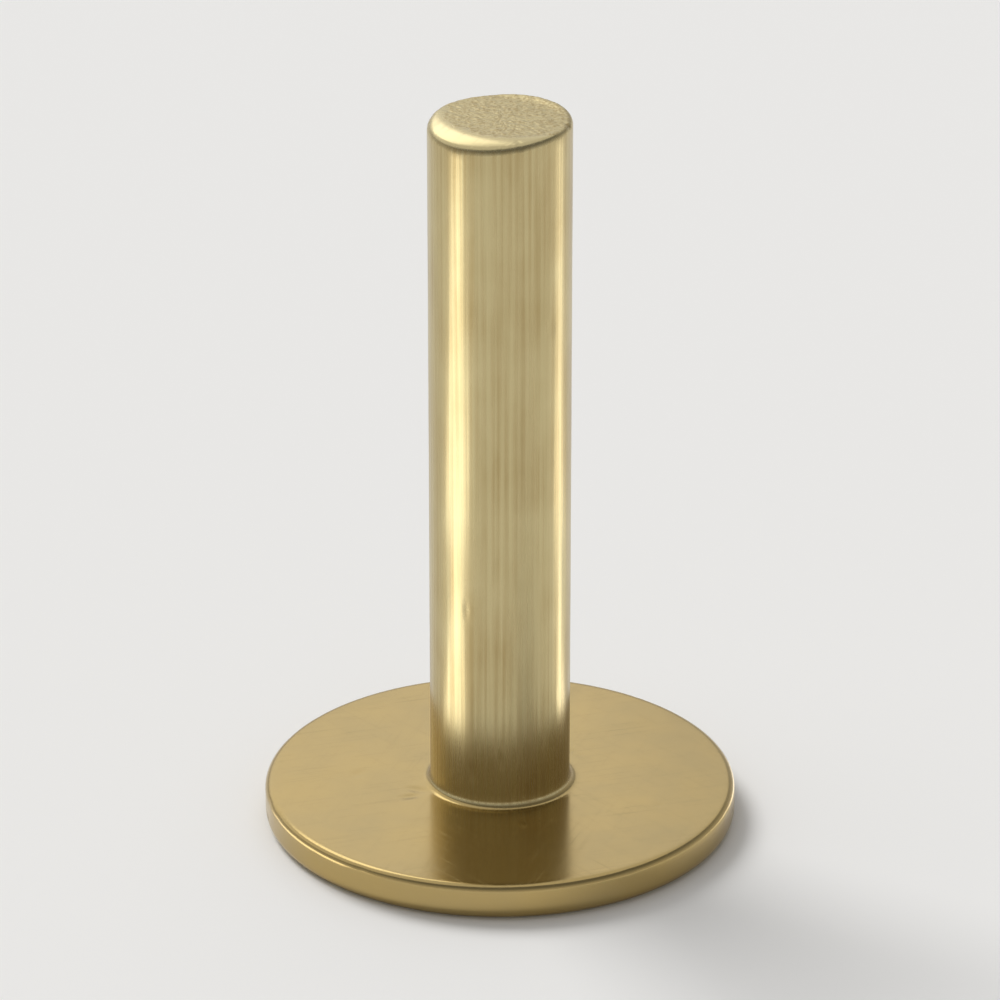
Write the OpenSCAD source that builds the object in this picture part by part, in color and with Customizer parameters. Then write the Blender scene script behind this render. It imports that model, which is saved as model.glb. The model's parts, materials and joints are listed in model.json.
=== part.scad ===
// Solid rivet with a thin flat head, cold-formed from the same wire as its plain shank.
// It stands on its head: the outer face of the head lies on z = 0, the shank points up
// along +Z, and the axis of the rivet is the Z axis. All sizes are in millimetres.

/* [Head] */
// Diameter of the head
head_d = 12.7; // [9:0.1:18]
// Thickness of the head, from its outer face to its seat
head_t = 1; // [0.8:0.05:1.8]
// Rounding of the rim where it meets the outer face
outer_rim_r = 0.3; // [0.1:0.05:0.35]
// Rounding of the rim where it meets the seat
seat_rim_r = 0.2; // [0.1:0.05:0.35]

/* [Centre mark] */
// Diameter of the shallow round mark in the middle of the outer face
mark_d = 1.6; // [0.8:0.1:3]
// Depth of that mark below the outer face
mark_depth = 0.06; // [0.02:0.01:0.15]

/* [Shank] */
// Diameter of the wire that forms the shank
shank_d = 3.76; // [2.6:0.02:5.2]
// Length of the shank, from the seat of the head to its cropped end
shank_l = 19; // [6:0.5:40]
// Fillet between the shank and the seat of the head
root_r = 0.2; // [0.1:0.05:0.8]
// Rounding of the edge around the cropped end
end_r = 0.16; // [0.1:0.02:0.6]

/* [Hidden] */
$fn = 96;

head_r = head_d / 2;
shank_r = shank_d / 2;
rivet_l = head_t + shank_l;
// The mark is the cap of a ball that has this radius
mark_ball_r = (mark_d * mark_d / 4 + mark_depth * mark_depth) / (2 * mark_depth);
brass = [0.80, 0.70, 0.43];

// What is left of a square of side r beside a quarter circle around its far corner.
// It lies at the origin and fills a corner that opens towards +X and +Y.
module corner(r) {
    difference() {
        square(r);
        translate([r, r]) circle(r);
    }
}

// Half section of the head: a disc with a rounded rim and the mark in its outer face
module head_section() {
    difference() {
        square([head_r, head_t]);
        translate([head_r, 0]) mirror([1, 0]) corner(outer_rim_r);
        translate([head_r, head_t]) rotate(180) corner(seat_rim_r);
        translate([0, mark_depth - mark_ball_r]) circle(mark_ball_r);
    }
}

// Half section of the shank: a plain rod, filleted into the seat and eased at its end
module shank_section() {
    difference() {
        translate([0, head_t / 2]) square([shank_r, rivet_l - head_t / 2]);
        translate([shank_r, rivet_l]) rotate(180) corner(end_r);
    }
    translate([shank_r, head_t]) corner(root_r);
}

// The whole rivet, turned from its half section
module rivet() {
    color(brass) rotate_extrude() {
        head_section();
        shank_section();
    }
}

rivet();
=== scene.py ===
"""A solid brass rivet, standing on its flat head on a pale studio floor."""

import json
import math
import random

import bmesh
import bpy
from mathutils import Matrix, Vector, kdtree, noise


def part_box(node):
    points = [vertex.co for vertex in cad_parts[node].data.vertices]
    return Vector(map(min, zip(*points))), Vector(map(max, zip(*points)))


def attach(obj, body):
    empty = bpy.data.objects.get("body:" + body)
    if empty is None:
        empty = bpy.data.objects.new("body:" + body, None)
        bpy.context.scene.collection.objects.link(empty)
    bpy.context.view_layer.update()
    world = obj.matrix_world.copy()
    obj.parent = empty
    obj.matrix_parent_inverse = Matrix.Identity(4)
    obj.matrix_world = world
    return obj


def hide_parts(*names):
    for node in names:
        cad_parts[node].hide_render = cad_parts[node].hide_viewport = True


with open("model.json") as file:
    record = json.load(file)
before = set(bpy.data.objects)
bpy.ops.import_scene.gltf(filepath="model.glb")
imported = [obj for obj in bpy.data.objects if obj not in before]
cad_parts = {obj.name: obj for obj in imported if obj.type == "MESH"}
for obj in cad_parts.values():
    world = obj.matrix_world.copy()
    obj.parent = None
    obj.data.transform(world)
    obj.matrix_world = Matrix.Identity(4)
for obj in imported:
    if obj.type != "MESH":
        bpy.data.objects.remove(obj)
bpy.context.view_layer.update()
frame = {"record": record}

# Sizes from the frame, in metres
MM = 0.001
MICRON = 0.000001
NODE = "rivet"
mounts = {mount["name"]: mount for mount in frame["record"]["mounts"]}
HEAD_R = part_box(NODE)[1].x
END_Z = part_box(NODE)[1].z
SEAT_Z = mounts["head_seat"]["pos_m"][2]
SHANK_R = mounts["shank"]["dims"]["r_mm"] * MM

# Rounded edges and the centre mark, as the solid has them
OUTER_RIM_R = 0.3 * MM
SEAT_RIM_R = 0.2 * MM
ROOT_R = 0.2 * MM
END_R = 0.16 * MM
MARK_R = 0.8 * MM
MARK_DEPTH = 0.06 * MM

# Fineness of the mesh: steps around the axis and in each rounded edge, and their length on the head,
# along the shank and on its end
AROUND = 320
ROUND_SEGMENTS = 8
FACE_STEP = 0.1 * MM
SHANK_STEP = 0.2 * MM
END_STEP = 0.04 * MM
MERGE_DISTANCE = 0.1 * MICRON

# How far down the normal points on the flat of the outer face, and on all that counts as underside
FLAT_DOWN = -0.99
MOSTLY_DOWN = -0.5

# Lines that the drawing die leaves along the shank
LINE_WIDTH = 0.11 * MM
LINE_LENGTH = 9 * MM
LINE_HEIGHT = 2.2 * MICRON

# Soft waves that cold heading leaves in the faces
WAVE_LENGTH = 2.4 * MM
WAVE_HEIGHT = 3.5 * MICRON

# Rings that the heading tool presses into the outer face around the centre mark, and the nib inside it
RING_PITCH = 0.4 * MM
RING_DEPTH = 6 * MICRON
RING_REACH = 3.4 * MM
RING_WEAR = 0.8
NIB_R = 0.25 * MM
NIB_HEIGHT = 0.03 * MM

# The cropped end: the blade enters on one side, rolls the edge over there and tears the rest off.
# Plain numbers are shares: of the shank's radius for the crescent and the lip, of the crescent's depth
# for the reach of the tear
CROP_AZIMUTH = math.radians(-38)
BLADE_SIDE = Vector((math.sin(CROP_AZIMUTH), -math.cos(CROP_AZIMUTH)))
CROP_DROP = 0.08 * MM
CROP_ZONE = 0.75 * MM
CRESCENT_SHIFT = 0.42
CRESCENT_R = 1.0
ROLL_DROP = 0.2 * MM
LIP_START = -0.62
LIP_BAND = (0.7, 0.95)
LIP_HEIGHT = 0.05 * MM
TEAR_SIZE = 0.3 * MM
TEAR_REACH = 0.3
END_EDGE_Z = END_Z - END_R / 2

# Grain of the torn face: its size and height, then the fall-off, scale step and number of its octaves
GRAIN_SIZE = 0.16 * MM
GRAIN_HEIGHT = 9 * MICRON
GRAIN_FRACTAL = (0.6, 2.0, 3)

# Nicks from knocks: how many each place has, the range of their sizes, and where they start on the rim
# and beside the fillet
NICKS = {"rim": 26, "seat": 10, "shank": 24, "end": 10, "outer": 26}
NICK_LENGTH = (0.12 * MM, 0.45 * MM)
NICK_WIDTH_SHARE = (0.25, 0.6)
NICK_DEPTH = (3 * MICRON, 16 * MICRON)
NICK_RIM_Z = SEAT_Z / 4
NICK_ROOT_GAP = 2 * ROOT_R
SEED = 7

# Places of the finishes in the rivet's list of materials, and the heights at which three of them end
WIRE, FORMED, PRESSED, SHEARED, BURNISHED = range(5)
PRESSED_TOP = OUTER_RIM_R / 3
FORMED_TOP = SEAT_Z + ROOT_R / 2
WIRE_TOP = END_Z - END_R / 3

# Studio: the floor's half width in metres, the haze's greys with the height at which the zenith's starts,
# and the fans of light on the floor: their height, and the distances from the axis where panels meet
FLOOR_HALF = 2.0
HORIZON_GREY = (0.7, 0.7, 0.7, 1)
ZENITH_GREY = (0.2, 0.2, 0.2, 1)
ZENITH_START = 0.7
FAN_Z = 0.2 * MM
FAN_STEPS = (7.5 * MM, 20 * MM, 60 * MM)

# Camera: the angle it looks down at, its distance from its aim, that aim as a share of the rivet's height,
# and its lens in millimetres
CAMERA_ELEVATION = math.radians(24)
CAMERA_DISTANCE = 0.147
CAMERA_AIM = 0.46
CAMERA_LENS = 200


def linear(hex_colour):
    """An sRGB hex colour as the linear RGBA that a socket takes."""
    channels = [int(hex_colour[i:i + 2], 16) / 255 for i in (1, 3, 5)]
    return [c / 12.92 if c <= 0.04045 else ((c + 0.055) / 1.055) ** 2.4 for c in channels] + [1]


def add(tree, kind, inputs=(), stops=(), **settings):
    """Adds a node with its settings. An input is a plain value or the output socket that feeds it.

    Stops are the places and colours of a ramp that has two of them.
    """
    node = tree.nodes.new(kind)
    for name, value in settings.items():
        setattr(node, name, value)
    for socket, value in dict(inputs).items():
        if isinstance(value, bpy.types.NodeSocket):
            tree.links.new(value, node.inputs[socket])
        else:
            node.inputs[socket].default_value = value
    for index, (place, colour) in enumerate(stops):
        node.color_ramp.elements[index].position = place
        node.color_ramp.elements[index].color = colour
    return node


def new_material(name):
    """An empty node material and its tree."""
    material = bpy.data.materials.new(name)
    material.use_nodes = True
    material.node_tree.nodes.clear()
    return material, material.node_tree


# Materials

CLEAN_BRASS = linear("#c9ba8c")
GOLDEN_BRASS = linear("#bda46b")
AGED_BRASS = linear("#b39f70")
TARNISHED_BRASS = linear("#9c8052")
PALE_FLOOR = linear("#f2f1ef")

# The range in which most of a noise's values lie
NOISE_RANGE = {"From Min": 0.3, "From Max": 0.7}

# How soft a hairline's edge is, in the values of its noise
HAIRLINE_EDGE = 0.06

# What the tool's rings add to the stains of the outer face, and what a scratch through them takes away
RING_TINT = 0.6
SCRATCH_TINT = -0.2


def mottle(tree, place, size, seed, detail):
    """Noise whose grains have this size in metres along X, Y and Z."""
    laid = add(tree, "ShaderNodeMapping", {"Vector": place, "Scale": size}, vector_type="TEXTURE")
    grains = add(tree, "ShaderNodeTexNoise", {
        "Vector": laid.outputs["Vector"], "W": seed, "Scale": 1.0, "Detail": detail}, noise_dimensions="4D")
    return grains.outputs["Fac"]


def hairlines(tree, place, turn, width, length, share):
    """A mask of fine scratches that all run one way, turned about Z."""
    laid = add(tree, "ShaderNodeMapping", {
        "Vector": place, "Scale": (length, width, length), "Rotation": (0, 0, turn)}, vector_type="TEXTURE")
    grains = add(tree, "ShaderNodeTexNoise", {
        "Vector": laid.outputs["Vector"], "W": turn, "Scale": 1.0, "Detail": 1.0, "Distortion": 0.15},
        noise_dimensions="4D")
    lines = add(tree, "ShaderNodeMapRange", {
        "Value": grains.outputs["Fac"], "From Min": 1 - share, "From Max": 1 - share + HAIRLINE_EDGE})
    return lines.outputs["Result"]


def scratched(tree, heights, depth):
    """A normal with several layers of scratches in it, one after the other."""
    layer = {}
    for height in heights:
        bump = add(tree, "ShaderNodeBump", {"Height": height, "Distance": depth, **layer}, invert=True)
        layer = {"Normal": bump.outputs["Normal"]}
    return layer["Normal"]


def finish(material, tree, colour, roughness, normal):
    """Ends a material in a bare metal surface."""
    shader = add(tree, "ShaderNodeBsdfPrincipled", {
        "Base Color": colour, "Metallic": 1.0, "Roughness": roughness, "Normal": normal})
    add(tree, "ShaderNodeOutputMaterial", {"Surface": shader.outputs["BSDF"]})
    return material


def drawn_brass_wire():
    """Wire pulled through a die: satin, with lines along it that draw each highlight out lengthwise."""
    material, tree = new_material("drawn_brass_wire")
    place = add(tree, "ShaderNodeTexCoord").outputs["Object"]
    streaks = mottle(tree, place, size=(0.1 * MM, 0.1 * MM, 10 * MM), seed=0.0, detail=3.0)
    blotches = mottle(tree, place, size=(1.4 * MM, 1.4 * MM, 2.6 * MM), seed=0.7, detail=6.0)
    # Die lines are a few microns wide: drawn at 0.03 mm, so that they show
    die_lines = mottle(tree, place, size=(0.03 * MM, 0.03 * MM, 4 * MM), seed=0.3, detail=3.0)
    stain = add(tree, "ShaderNodeMath", {0: streaks, 1: blotches}, operation="MULTIPLY")
    colour = add(tree, "ShaderNodeValToRGB", {"Fac": stain.outputs["Value"]},
                 stops=((0.16, CLEAN_BRASS), (0.4, AGED_BRASS)))
    roughness = add(tree, "ShaderNodeMapRange", {
        "Value": streaks, **NOISE_RANGE, "To Min": 0.22, "To Max": 0.32})
    bump = add(tree, "ShaderNodeBump", {"Height": die_lines, "Distance": 0.7 * MICRON})
    normal = bump.outputs["Normal"]
    return finish(material, tree, colour.outputs["Color"], roughness.outputs["Result"], normal)


def die_formed_brass():
    """Brass upset against a polished die: smooth and mirror-like, with hairlines and faint brown stains."""
    material, tree = new_material("die_formed_brass")
    place = add(tree, "ShaderNodeTexCoord").outputs["Object"]
    stains = mottle(tree, place, size=(1.8 * MM, 1.8 * MM, 1.8 * MM), seed=0.2, detail=4.0)
    colour = add(tree, "ShaderNodeValToRGB", {"Fac": stains},
                 stops=((0.3, GOLDEN_BRASS), (1.0, AGED_BRASS)))
    roughness = add(tree, "ShaderNodeMapRange", {
        "Value": stains, **NOISE_RANGE, "To Min": 0.17, "To Max": 0.21})
    # Handling scratches are under 0.01 mm wide: drawn at 0.022 mm, so that they show
    scratches = [
        hairlines(tree, place, turn, width=0.022 * MM, length=2.6 * MM, share=0.33)
        for turn in (0.3, 1.2, 2.3)]
    normal = scratched(tree, scratches, depth=0.8 * MICRON)
    return finish(material, tree, colour.outputs["Color"], roughness.outputs["Result"], normal)


def pressed_brass():
    """The outer face, pressed flat by the heading tool: satin, mottled, with fine rings and hairlines."""
    material, tree = new_material("pressed_brass")
    place = add(tree, "ShaderNodeTexCoord").outputs["Object"]
    stains = mottle(tree, place, size=(0.7 * MM, 0.7 * MM, 0.7 * MM), seed=0.5, detail=7.0)
    # Handling scratches are under 0.01 mm wide: drawn at 0.03 mm, so that they show
    scratches = [
        hairlines(tree, place, turn, width=0.03 * MM, length=2.4 * MM, share=0.36)
        for turn in (0.8, 1.0, 2.1)]
    # The tool's turning marks are about 0.05 mm apart: drawn at 0.12 mm, so that they show
    radius = add(tree, "ShaderNodeVectorMath", {"Vector": place}, operation="LENGTH")
    rings = add(tree, "ShaderNodeTexNoise", {
        "W": radius.outputs["Value"], "Scale": 1 / (0.12 * MM), "Detail": 2.0}, noise_dimensions="1D")
    ringed = add(tree, "ShaderNodeMath", {
        0: rings.outputs["Fac"], 1: RING_TINT, 2: stains}, operation="MULTIPLY_ADD")
    bared = add(tree, "ShaderNodeMath", {
        0: scratches[0], 1: SCRATCH_TINT, 2: ringed.outputs["Value"]}, operation="MULTIPLY_ADD")
    colour = add(tree, "ShaderNodeValToRGB", {"Fac": bared.outputs["Value"]},
                 stops=((0.5, CLEAN_BRASS), (1.0, AGED_BRASS)))
    roughness = add(tree, "ShaderNodeMapRange", {
        "Value": stains, **NOISE_RANGE, "To Min": 0.28, "To Max": 0.38})
    normal = scratched(tree, [rings.outputs["Fac"]] + scratches, depth=3 * MICRON)
    return finish(material, tree, colour.outputs["Color"], roughness.outputs["Result"], normal)


def burnished_brass():
    """The side of the end that the blade wiped smooth: a bright crescent, streaked the blade's way."""
    material, tree = new_material("burnished_brass")
    place = add(tree, "ShaderNodeTexCoord").outputs["Object"]
    blade_way = CROP_AZIMUTH - math.pi / 2
    # The blade's streaks are under 0.01 mm wide: drawn at 0.04 mm, so that they show
    streaks = hairlines(tree, place, blade_way, width=0.04 * MM, length=1.2 * MM, share=0.4)
    normal = scratched(tree, [streaks], depth=1.5 * MICRON)
    return finish(material, tree, CLEAN_BRASS, roughness=0.24, normal=normal)


def sheared_brass():
    """The torn face of the cropped end: matt and granular, with bright grains."""
    material, tree = new_material("sheared_brass")
    place = add(tree, "ShaderNodeTexCoord").outputs["Object"]
    grains = mottle(tree, place, size=(0.07 * MM, 0.07 * MM, 0.07 * MM), seed=0.4, detail=4.0)
    colour = add(tree, "ShaderNodeValToRGB", {"Fac": grains},
                 stops=((0.45, CLEAN_BRASS), (0.85, TARNISHED_BRASS)))
    roughness = add(tree, "ShaderNodeMapRange", {
        "Value": grains, **NOISE_RANGE, "To Min": 0.3, "To Max": 0.5})
    bump = add(tree, "ShaderNodeBump", {"Height": grains, "Distance": 8 * MICRON})
    normal = bump.outputs["Normal"]
    return finish(material, tree, colour.outputs["Color"], roughness.outputs["Result"], normal)


# Shape

def half_section(bm):
    """Draws the half section in the XZ plane, from the outer face's middle to the end's middle."""
    # The radius, height and rounding of each corner
    points = [
        (0, 0, 0), (HEAD_R, 0, OUTER_RIM_R), (HEAD_R, SEAT_Z, SEAT_RIM_R), (SHANK_R, SEAT_Z, ROOT_R),
        (SHANK_R, END_Z, END_R), (0, END_Z, 0),
    ]
    corners = [bm.verts.new((r, 0, z)) for r, z, _ in points]
    for start, end in zip(corners, corners[1:]):
        bm.edges.new((start, end))
    for corner, (_, _, rounding) in zip(corners, points):
        if rounding:
            bmesh.ops.bevel(
                bm, geom=[corner], offset=rounding, offset_type="OFFSET", affect="VERTICES",
                segments=ROUND_SEGMENTS, profile=0.5, material=-1)


def divide_section(bm):
    """Cuts the straight stretches of the section into even steps."""
    for edge in bm.edges[:]:
        length = edge.calc_length()
        on_end = min(vert.co.z for vert in edge.verts) > END_Z - MICRON
        on_shank = length > END_Z / 2
        step = END_STEP if on_end else SHANK_STEP if on_shank else FACE_STEP
        cuts = math.ceil(length / step) - 1
        if cuts > 0:
            bmesh.ops.subdivide_edges(bm, edges=[edge], cuts=cuts)


def turn_section(bm):
    """Spins the section into a closed solid."""
    bmesh.ops.spin(
        bm, geom=bm.verts[:] + bm.edges[:], axis=(0, 0, 1), cent=(0, 0, 0), angle=2 * math.pi,
        steps=AROUND, use_merge=True)
    bmesh.ops.remove_doubles(bm, verts=bm.verts[:], dist=MERGE_DISTANCE)
    bmesh.ops.recalc_face_normals(bm, faces=bm.faces[:])
    bm.normal_update()


def wiped(point):
    """How deep a point lies in the blade's crescent: 1 at its outer edge, under 0 on the torn face."""
    reach = (point.xy / SHANK_R + CRESCENT_SHIFT * BLADE_SIDE).length
    return (reach - CRESCENT_R) / (1 + CRESCENT_SHIFT - CRESCENT_R)


def give_finishes(bm):
    """Gives each face the finish that its place in the true round shape has."""
    for face in bm.faces:
        face.smooth = True
        middle = face.calc_center_median()
        if middle.z > WIRE_TOP:
            ragged = TEAR_REACH * noise.noise(middle / TEAR_SIZE)
            face.material_index = BURNISHED if wiped(middle) > ragged else SHEARED
        elif middle.z > FORMED_TOP:
            face.material_index = WIRE
        else:
            face.material_index = PRESSED if middle.z < PRESSED_TOP else FORMED


def smooth_step(low, high, value):
    """Rises from 0 at low to 1 at high."""
    t = min(max((value - low) / (high - low), 0), 1)
    return t * t * (3 - 2 * t)


def press_outer_face(bm):
    """Sinks the tool's rings and the centre mark with its nib into the outer face."""
    ball_r = (MARK_R ** 2 + MARK_DEPTH ** 2) / (2 * MARK_DEPTH)
    for vert in bm.verts:
        if vert.co.z > FACE_STEP or vert.normal.z > FLAT_DOWN:
            continue
        r = vert.co.xy.length
        ring = 0.5 - 0.5 * math.cos(2 * math.pi * r / RING_PITCH)
        faded = 1 - smooth_step(MARK_R, RING_REACH, r)
        worn = RING_WEAR + noise.noise(vert.co / WAVE_LENGTH)
        depth = RING_DEPTH * ring * faded * worn
        if r < MARK_R:
            depth += math.sqrt(ball_r ** 2 - r ** 2) - (ball_r - MARK_DEPTH)
        vert.co.z += depth - NIB_HEIGHT * (1 - smooth_step(0, NIB_R, r))


def draw_shank(bm):
    """Lines that run along the shank."""
    for vert in bm.verts:
        if SEAT_Z + ROOT_R < vert.co.z < END_EDGE_Z:
            x, y, z = vert.co
            line = noise.noise(Vector((x / LINE_WIDTH, y / LINE_WIDTH, z / LINE_LENGTH)))
            vert.co += vert.normal * LINE_HEIGHT * line


def wave_faces(bm):
    """Soft waves in every face but the one that the rivet stands on."""
    for vert in bm.verts:
        if vert.normal.z > MOSTLY_DOWN:
            vert.co += vert.normal * WAVE_HEIGHT * noise.noise(vert.co / WAVE_LENGTH)


def crop_end(bm):
    """Shapes the cropped end: a slant, an edge rolled over by the blade, a torn face and a lip."""
    for vert in bm.verts:
        height = smooth_step(END_Z - END_R - CROP_ZONE, END_Z - END_R, vert.co.z)
        if height == 0:
            continue
        across = vert.co.xy.dot(BLADE_SIDE) / SHANK_R
        rolled = max(wiped(vert.co), 0)
        torn = smooth_step(TEAR_REACH, -TEAR_REACH, wiped(vert.co))
        edge = smooth_step(*LIP_BAND, vert.co.xy.length / SHANK_R)
        lip = smooth_step(LIP_START, -1, across) * edge
        grain = noise.fractal(vert.co / GRAIN_SIZE, *GRAIN_FRACTAL)
        drop = CROP_DROP * (1 + across) / 2 + ROLL_DROP * rolled ** 2 + LIP_HEIGHT * (1 - lip)
        on_face = smooth_step(END_EDGE_Z, END_Z, vert.co.z)
        vert.co.z -= height * drop + on_face * torn * GRAIN_HEIGHT * (1 + grain)


def nick(bm, near, place, along, length, width, depth):
    """Presses an oval nick into the surface around a place."""
    for _, index, _ in near.find_range(place, length):
        vert = bm.verts[index]
        offset = vert.co - place
        lengthwise = offset.dot(along)
        crosswise = (offset - along * lengthwise).length
        reach = (lengthwise / length) ** 2 + (crosswise / width) ** 2
        if reach < 1:
            vert.co -= vert.normal * depth * (1 - reach) ** 2


def tumble(bm):
    """Nicks on the rim, the seat, the shank, the edge of its end and the outer face."""
    draw = random.Random(SEED)
    near = kdtree.KDTree(len(bm.verts))
    for index, vert in enumerate(bm.verts):
        near.insert(vert.co, index)
    near.balance()
    bm.verts.ensure_lookup_table()
    for zone, count in NICKS.items():
        for _ in range(count):
            angle = draw.uniform(0, 2 * math.pi)
            r, z = {
                "rim": (HEAD_R, draw.uniform(NICK_RIM_Z, SEAT_Z)),
                "seat": (draw.uniform(SHANK_R + NICK_ROOT_GAP, HEAD_R), SEAT_Z),
                "shank": (SHANK_R, draw.uniform(SEAT_Z + NICK_ROOT_GAP, END_Z)),
                "end": (SHANK_R, END_Z),
                "outer": (math.sqrt(draw.random()) * HEAD_R, 0),
            }[zone]
            place = near.find(Vector((r * math.cos(angle), r * math.sin(angle), z)))[0]
            along = Vector((draw.gauss(0, 1), draw.gauss(0, 1), draw.gauss(0, 1))).normalized()
            length = draw.uniform(*NICK_LENGTH)
            width = length * draw.uniform(*NICK_WIDTH_SHARE)
            nick(bm, near, place, along, length, width, draw.uniform(*NICK_DEPTH))


def rivet_mesh():
    """The rivet's mesh: its true round shape first, then the marks of its making, none under the floor."""
    bm = bmesh.new()
    half_section(bm)
    divide_section(bm)
    turn_section(bm)
    give_finishes(bm)
    draw_shank(bm)
    wave_faces(bm)
    press_outer_face(bm)
    tumble(bm)
    crop_end(bm)
    for vert in bm.verts:
        vert.co.z = max(vert.co.z, 0)
    mesh = bpy.data.meshes.new("headed_rivet")
    bm.to_mesh(mesh)
    bm.free()
    return mesh


def make_rivet():
    """The rivet, in one piece with five finishes of the same brass."""
    mesh = rivet_mesh()
    finishes = {
        WIRE: drawn_brass_wire(), FORMED: die_formed_brass(), PRESSED: pressed_brass(),
        SHEARED: sheared_brass(), BURNISHED: burnished_brass(),
    }
    for index in sorted(finishes):
        mesh.materials.append(finishes[index])
    piece = bpy.data.objects.new("headed_rivet", mesh)
    bpy.context.scene.collection.objects.link(piece)
    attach(piece, "root")
    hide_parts(NODE)
    return piece


# Studio

def matt_pale_floor():
    """Matt pale board: no sheen, so that the floor stays even from every side."""
    material, tree = new_material("matt_pale_floor")
    shader = add(tree, "ShaderNodeBsdfPrincipled", {
        "Base Color": PALE_FLOOR, "Roughness": 1.0, "Specular IOR Level": 0.0})
    add(tree, "ShaderNodeOutputMaterial", {"Surface": shader.outputs["BSDF"]})
    return material


def make_floor():
    """A plain floor under the rivet."""
    bm = bmesh.new()
    bmesh.ops.create_grid(bm, x_segments=1, y_segments=1, size=FLOOR_HALF)
    mesh = bpy.data.meshes.new("floor")
    bm.to_mesh(mesh)
    bm.free()
    mesh.materials.append(matt_pale_floor())
    floor = bpy.data.objects.new("floor", mesh)
    bpy.context.scene.collection.objects.link(floor)
    return floor


def around(azimuth, distance, height):
    """A place around the rivet. Azimuth 0 is on the camera's side and 90 on its right."""
    a = math.radians(azimuth)
    return Vector((math.sin(a) * distance, -math.cos(a) * distance, height))


def facing(place, aim):
    """The turn that points a lamp at an aim."""
    return (place - aim).to_track_quat("Z", "Y").to_euler()


def add_lamp(name, kind, place, turn, strength, lit):
    """A lamp that lights everything, or only the piece that is given."""
    data = bpy.data.lights.new(name, kind)
    data.energy = strength
    lamp = bpy.data.objects.new(name, data)
    bpy.context.scene.collection.objects.link(lamp)
    lamp.location = place
    lamp.rotation_euler = turn
    lamp.visible_camera = False
    if lit:
        receivers = bpy.data.collections.new("lit_by_" + name)
        receivers.objects.link(lit)
        lamp.light_linking.receiver_collection = receivers
    return data


def sky(name, azimuth, elevation, across, strength, lit=None):
    """A wide light from one side of the sky, the same all over the floor."""
    e = math.radians(elevation)
    place = around(azimuth, math.cos(e), math.sin(e))
    data = add_lamp(name, "SUN", place, facing(place, Vector()), strength, lit)
    data.angle = math.radians(across)


def panel(name, place, turn, width, length, radiance, lit):
    """A flat soft light. Its radiance is what a mirror shows of it, where the floor has about 0.8."""
    data = add_lamp(name, "AREA", place, turn, radiance * math.pi * width * length, lit)
    data.shape = "RECTANGLE"
    data.size = width
    data.size_y = length


def card(name, azimuth, distance, height, aim_z, width, tall, radiance, lit):
    """A card of light that is aimed at the rivet's axis."""
    place = around(azimuth, distance, height)
    panel(name, place, facing(place, Vector((0, 0, aim_z))), width, tall, radiance, lit)


def fan(name, azimuth, angle, radiance, lit):
    """A fan of light on the floor that opens away from the rivet.

    The shank mirrors it as a bright band from end to end.
    """
    for near, far in zip(FAN_STEPS, FAN_STEPS[1:]):
        middle = (near + far) / 2
        width = 2 * middle * math.tan(math.radians(angle) / 2)
        place = around(azimuth, middle, FAN_Z)
        turn = (math.pi, 0, math.radians(azimuth))
        panel("%s_%d" % (name, near / MM), place, turn, width, far - near, radiance, lit)


def make_lamps(rivet, floor):
    """Sky light, a low sun for the floor's shadow, and lights that the metal mirrors as bright bands."""
    sky("soft_sky", azimuth=-150, elevation=60, across=90, strength=0.9)
    sky("low_sun", azimuth=-140, elevation=45, across=28, strength=1.7, lit=floor)
    fan("left_fan", azimuth=-72, angle=26, radiance=1.7, lit=rivet)
    fan("right_fan", azimuth=108, angle=13, radiance=1.7, lit=rivet)
    card("back_card", azimuth=-162, distance=60 * MM, height=33 * MM, aim_z=SEAT_Z,
         width=50 * MM, tall=14 * MM, radiance=0.15, lit=rivet)
    card("top_card", azimuth=-150, distance=50 * MM, height=62 * MM, aim_z=END_Z,
         width=40 * MM, tall=34 * MM, radiance=1.45, lit=rivet)


def make_world():
    """A pale haze all round that darkens towards the zenith, so that the metal mirrors a soft change."""
    world = bpy.data.worlds.new("studio")
    bpy.context.scene.world = world
    world.use_nodes = True
    tree = world.node_tree
    direction = add(tree, "ShaderNodeTexCoord").outputs["Generated"]
    height = add(tree, "ShaderNodeSeparateXYZ", {"Vector": direction}).outputs["Z"]
    shade = add(tree, "ShaderNodeValToRGB", {"Fac": height},
                stops=((0.0, HORIZON_GREY), (ZENITH_START, ZENITH_GREY)))
    tree.links.new(shade.outputs["Color"], tree.nodes["Background"].inputs["Color"])


def make_camera():
    """The camera, which looks down at the rivet from the front."""
    data = bpy.data.cameras.new("camera")
    data.lens = CAMERA_LENS
    data.clip_start = MM
    camera = bpy.data.objects.new("camera", data)
    bpy.context.scene.collection.objects.link(camera)
    back = Vector((0, -math.cos(CAMERA_ELEVATION), math.sin(CAMERA_ELEVATION)))
    camera.location = Vector((0, 0, CAMERA_AIM * END_Z)) + back * CAMERA_DISTANCE
    camera.rotation_euler = back.to_track_quat("Z", "Y").to_euler()
    bpy.context.scene.camera = camera
    bpy.context.scene.view_settings.view_transform = "Standard"


headed_rivet = make_rivet()
make_lamps(headed_rivet, make_floor())
make_world()
make_camera()
